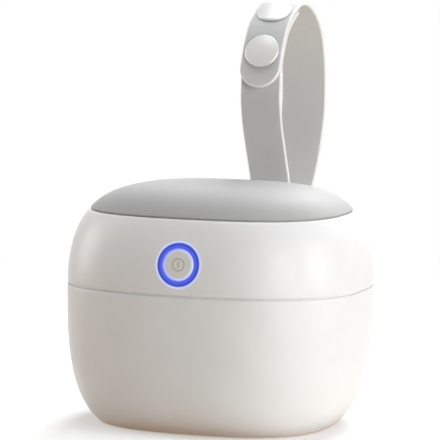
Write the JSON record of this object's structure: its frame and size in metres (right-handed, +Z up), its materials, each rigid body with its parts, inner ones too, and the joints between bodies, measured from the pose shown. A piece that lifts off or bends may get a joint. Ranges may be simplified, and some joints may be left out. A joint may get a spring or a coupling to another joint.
{
  "type": "pacifier sterilizer case",
  "caption": "Rounded pocket case that sterilizes a pacifier by lamp light: hinged lid with a lit power button, mirror bowl inside, and a carry strap that closes with two snaps.",
  "frame": {"origin": "on the table, at the underside of the foot pad, under the middle of the case", "axes": "+Z up; the front with the power button faces -Y; the hinge and the strap are at +Y; +X is to the right seen from the front"},
  "size_m": [0.09, 0.1251, 0.1256],
  "materials": {
    "white_plastic": "satin gloss moulded plastic",
    "grey_cap": "matte soft-touch",
    "mirror_bowl": "mirror plated",
    "mirror_cover": "mirror plated",
    "foot_rubber": "matte",
    "steel": "plated",
    "magnet": "nickel plated",
    "silicone": "matte translucent white",
    "quartz": "polished",
    "lamp_board": "white solder mask",
    "lamp": "ceramic package with a clear lid",
    "circuit_board": "green solder mask",
    "blue_led": "clear resin",
    "black_plastic": "moulded",
    "light_ring": "lit translucent plastic",
    "button_plastic": "satin",
    "socket_steel": "nickel plated",
    "battery_foil": "matte foil",
    "foam": "foam tape",
    "strap_silicone": "matte silicone",
    "snap_plastic": "gloss"
  },
  "bodies": {
    "base": {"base_shell": "white_plastic", "base_liner": "mirror_bowl", "foot_pad": "foot_rubber", "base_screws": "steel", "base_magnets": "magnet", "hinge_pin": "steel"},
    "lid": {"lid_shell": "white_plastic", "lid_cap": "grey_cap", "lid_reflector": "mirror_cover", "lid_screws": "steel", "lid_magnets": "magnet", "seal_ring": "silicone", "uv_window": "quartz", "window_seal": "silicone", "lamp_board": "lamp_board", "uv_lamps": "lamp", "lamp_screws": "steel", "main_board": "circuit_board", "ring_leds": "blue_led", "lid_sensor": "black_plastic", "tact_switch": "black_plastic", "light_ring": "light_ring", "charge_board": "circuit_board", "charge_socket": "socket_steel", "board_screws": "steel", "battery": "battery_foil", "battery_pad": "foam", "strap_pin": "white_plastic"},
    "button": {"power_button": "button_plastic", "switch_plunger": "black_plastic"},
    "strap": {"strap": "strap_silicone", "snap_caps": "snap_plastic", "snap_studs": "snap_plastic"}
  },
  "joints": [
    {"name": "lid_hinge", "type": "hinge", "parent": "base", "child": "lid", "pos_m": [0, 0.0432, 0.04215], "axis": [-1, 0, 0], "range_deg": [0, 86]},
    {"name": "strap_swing", "type": "hinge", "parent": "lid", "child": "strap", "pos_m": [0, 0.047, 0.0505], "axis": [1, 0, 0], "range_deg": [-45, 25]},
    {"name": "button_press", "type": "slide", "parent": "lid", "child": "button", "axis": [0, 0.9882, -0.1532], "range_m": [0, 0.0005], "stiffness_N_per_m": 2000, "springref_m": -0.0003}
  ]
}
